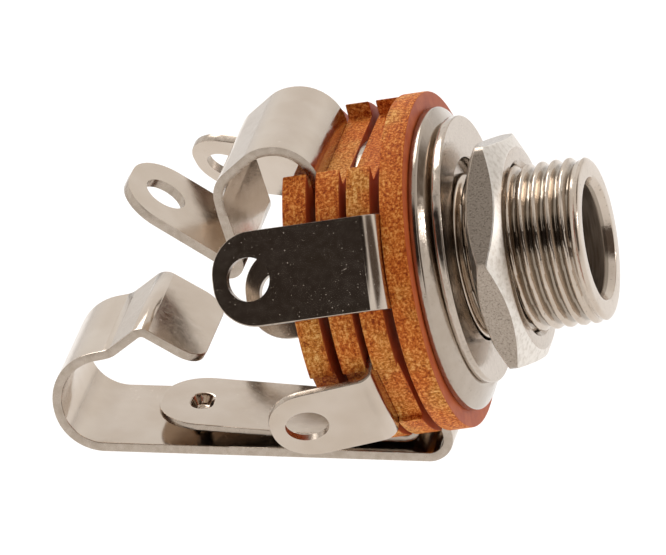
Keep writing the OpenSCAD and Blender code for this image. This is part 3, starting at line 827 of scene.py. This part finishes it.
def bushing_profile():
    thread_len = THREAD_END - THREAD_START
    steps = round(thread_len / THREAD_STEP)
    thread = [(THREAD_START + thread_len * i / steps, THREAD_R, 0) for i in range(steps + 1)]
    return rounded([
        (REAR_X, BORE_R, 0.15),
        (REAR_X, BARREL_R, 0.3),
        (REAR_X + ROLL_TAPER, ROLL_R, 0.12),
        (ROLL_FRONT, ROLL_R, 0.1),
        (ROLL_FRONT, BARREL_R, 0),
        (FLANGE_BACK, BARREL_R, 0),
        (FLANGE_BACK, FLANGE_R, 0.12),
        (-FLANGE_BEVEL, FLANGE_R, 0.18),
        (0, FLANGE_FACE_R, 0.3),
        (0, THREAD_R, 0),
        *thread,
        (BUSHING_LEN, LIP_R, LIP_ROUNDING),
        (BUSHING_LEN, MOUTH_R, 0.12),
        (BUSHING_LEN - MOUTH_DEPTH, BORE_R, 0.2),
    ])


def bushing_finish(x, r):
    """Number of the material at a place of the profile: thread and lip, bore, or flange and barrel."""
    if r < BORE_R + NEAR:
        return 1
    return 2 if x < NEAR / 2 else 0


def threaded_bushing():
    profile = bushing_profile()
    middles = [(p + after) / 2 for p, after in zip(profile, profile[1:] + profile[:1])]
    finishes = [bushing_finish(*middle) for middle in middles]

    def section_at(a):
        return [(x, thread_radius(x, r, a)) for x, r in profile]

    return turned("threaded_bushing", section_at, finishes, (TURNED, REAMED, FLANGE), BUSHING_SEGMENTS)


stand_for(threaded_bushing(), "bushing")


# Hex nut

NUT_FLATS = 12.7
NUT_CORNER = math.radians(161.5)
NUT_FACE_R = 5.85
NUT_REAR_R = 6.2
NUT_BORE_R = 4.8125
NUT_CHAMFER = math.tan(math.radians(30))
NUT_CORNER_CUT = 0.07
NUT_EDGE = 0.05
NUT_MOUTH = 0.24
NUT_SEGMENTS = 240
NUT_SHARP = 25
NUT_X, NUT_FRONT = (corner.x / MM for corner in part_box("hex_nut"))
# Materials of the bands of the nut's section, from the rear face round by the side to the bore
FACE, FLAT, CHAMFER = range(3)
NUT_FINISHES = [FACE] * 2 + [CHAMFER] * 2 + [FLAT] + [CHAMFER] * 3 + [FACE] * 4


def hex_radius(a):
    """Distance from the axis to the nut's side, with its corners just broken."""
    corner = math.radians(60)
    from_flat = (a - NUT_CORNER) % corner - corner / 2
    return min(NUT_FLATS / 2 / math.cos(from_flat), NUT_FLATS / 2 / math.cos(corner / 2) - NUT_CORNER_CUT)


def nut_section(a):
    """Section of the nut at an angle, with chamfers and softened edges."""
    side = hex_radius(a)
    rear = NUT_X + (side - NUT_REAR_R) * NUT_CHAMFER
    front = NUT_FRONT - (side - NUT_FACE_R) * NUT_CHAMFER
    e = NUT_EDGE
    return [
        (NUT_X, NUT_BORE_R + NUT_MOUTH),
        (NUT_X, NUT_REAR_R - e),
        (NUT_X + e * NUT_CHAMFER, NUT_REAR_R + e),
        (rear - e * NUT_CHAMFER, side - e),
        (rear + e, side),
        (front - e, side),
        (front + e * NUT_CHAMFER, side - e),
        (NUT_FRONT - e * NUT_CHAMFER, NUT_FACE_R + e),
        (NUT_FRONT, NUT_FACE_R - e),
        (NUT_FRONT, NUT_BORE_R + NUT_MOUTH),
        (NUT_FRONT - NUT_MOUTH, NUT_BORE_R),
        (NUT_X + NUT_MOUTH, NUT_BORE_R),
    ]


hex_nut = turned("hex_nut_shaped", nut_section, NUT_FINISHES, (TUMBLED, BAR, PAINTED_HIGHLIGHT), NUT_SEGMENTS, NUT_SHARP)
stand_for(hex_nut, "hex_nut", "nut")


# Solids that keep their own shape

WASHER_EDGE = 0.09
DISC_EDGE = 0.07
TUBE_EDGE = 0.05
BROKEN_EDGE = math.radians(40)
WELD_GAP = 0.002


def dress(node_name, material, edge):
    """Gives a solid a finish and softly broken edges."""
    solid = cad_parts[node_name]
    solid.data.materials.clear()
    solid.data.materials.append(material)
    weld = solid.modifiers.new("weld", "WELD")
    weld.merge_threshold = WELD_GAP * MM
    bevel = solid.modifiers.new("edges", "BEVEL")
    bevel.width = edge * MM
    bevel.segments = 2
    bevel.limit_method = "ANGLE"
    bevel.angle_limit = BROKEN_EDGE
    bevel.harden_normals = True


dress("panel_washer", TUMBLED, WASHER_EDGE)
for disc in ("front_insulator", "tip_insulator", "switch_insulator", "rear_insulator"):
    dress(disc, FIBRE, DISC_EDGE)
dress("insulating_tube", TUBE, TUBE_EDGE)


# Camera at the photograph's angle

CAMERA_AZIMUTH = math.radians(16.4)
CAMERA_ELEVATION = math.radians(22.7)
CAMERA_ROLL = math.radians(14.45)
CAMERA_DISTANCE = 600
PIXELS_PER_MM = 17.6
IMAGE_W = 666
SENSOR = 36
AIM_RIGHT = -7.8125
AIM_UP = -1.2045
CLIP_START = 0.01
CLIP_END = 20


def add_camera():
    az, el, roll = CAMERA_AZIMUTH, CAMERA_ELEVATION, CAMERA_ROLL
    back = Vector((math.sin(az) * math.cos(el), -math.cos(az) * math.cos(el), math.sin(el)))
    level = Vector((math.cos(az), math.sin(az), 0))
    upright = back.cross(level)
    right = math.cos(roll) * level - math.sin(roll) * upright
    up = math.sin(roll) * level + math.cos(roll) * upright
    camera = bpy.data.objects.new("camera", bpy.data.cameras.new("camera"))
    camera.data.sensor_width = SENSOR
    camera.data.lens = SENSOR * CAMERA_DISTANCE * PIXELS_PER_MM / IMAGE_W
    camera.data.clip_start = CLIP_START
    camera.data.clip_end = CLIP_END
    aim = AIM_RIGHT * right + AIM_UP * up
    place = Matrix((right, up, back)).transposed().to_4x4()
    place.translation = (aim + CAMERA_DISTANCE * back) * MM
    camera.matrix_world = place
    bpy.context.scene.collection.objects.link(camera)
    bpy.context.scene.camera = camera


add_camera()


# Floor and light

FLOOR_Z = -0.05
FLOOR_HALF = 3.0
LIGHT_DISTANCE = 0.6
# Soft lights: name, direction, size and power
LIGHTS = [
    ("key_light", (-0.3, 0.5, 0.85), 0.35, 1.5),
    ("side_light", (0.92, 0.38, 0.03), 0.05, 0.25),
]
# Brightness of the surround by height, from the horizon up
SURROUND = [
    (0.0, (0.86, 0.84, 0.82)),
    (0.25, (1.0, 0.99, 0.97)),
    (0.6, (0.90, 0.88, 0.86)),
    (1.0, (0.68, 0.66, 0.64)),
]
# Darker stretches of the surround: direction, cosines where the shade starts and is full, and its colour
DARK_SIDES = [
    ((-0.20, -0.72, 0.66), 0.84, 0.93, (0.035, 0.028, 0.024)),
    ((0.82, 0.56, 0.05), 0.93, 0.98, (0.22, 0.185, 0.155)),
    ((0.80, -0.52, 0.30), 0.82, 0.92, (0.12, 0.095, 0.08)),
]


def add_floor():
    bm = bmesh.new()
    bmesh.ops.create_grid(bm, x_segments=8, y_segments=8, size=FLOOR_HALF)
    mesh = bpy.data.meshes.new("floor")
    bm.to_mesh(mesh)
    bm.free()
    mesh.materials.append(floor_paint())
    floor = bpy.data.objects.new("floor", mesh)
    floor.location = (0, 0, FLOOR_Z)
    bpy.context.scene.collection.objects.link(floor)


def add_softbox(name, towards, size, power):
    """Square soft light that faces the part from a direction."""
    light = bpy.data.lights.new(name, "AREA")
    light.size = size
    light.energy = power
    lamp = bpy.data.objects.new(name, light)
    direction = Vector(towards).normalized()
    lamp.location = direction * LIGHT_DISTANCE
    lamp.rotation_euler = direction.to_track_quat("Z", "Y").to_euler()
    bpy.context.scene.collection.objects.link(lamp)


def add_world():
    """Pale studio surround with a few darker stretches, which give the metal its contrast."""
    world = bpy.data.worlds.new("studio")
    bpy.context.scene.world = world
    world.use_nodes = True
    tree = world.node_tree
    direction = node(tree, "ShaderNodeTexCoord").outputs["Generated"]
    height = node(tree, "ShaderNodeSeparateXYZ", {0: direction}).outputs[2]
    light = ramp(tree, height, SURROUND)
    for towards, start, full, dark in DARK_SIDES:
        axis = Vector(towards).normalized()
        facing = node(tree, "ShaderNodeVectorMath", {0: direction, 1: axis}, operation="DOT_PRODUCT")
        shade = ramp(tree, facing.outputs["Value"], [(start, (1.0, 1.0, 1.0)), (full, dark)])
        light = node(tree, "ShaderNodeVectorMath", {0: light, 1: shade}, operation="MULTIPLY").outputs[0]
    background = tree.nodes["Background"]
    tree.links.new(light, background.inputs["Color"])
    background.inputs["Strength"].default_value = 1.0


add_floor()
add_world()
for light in LIGHTS:
    add_softbox(*light)
bpy.context.scene.view_settings.view_transform = "Standard"
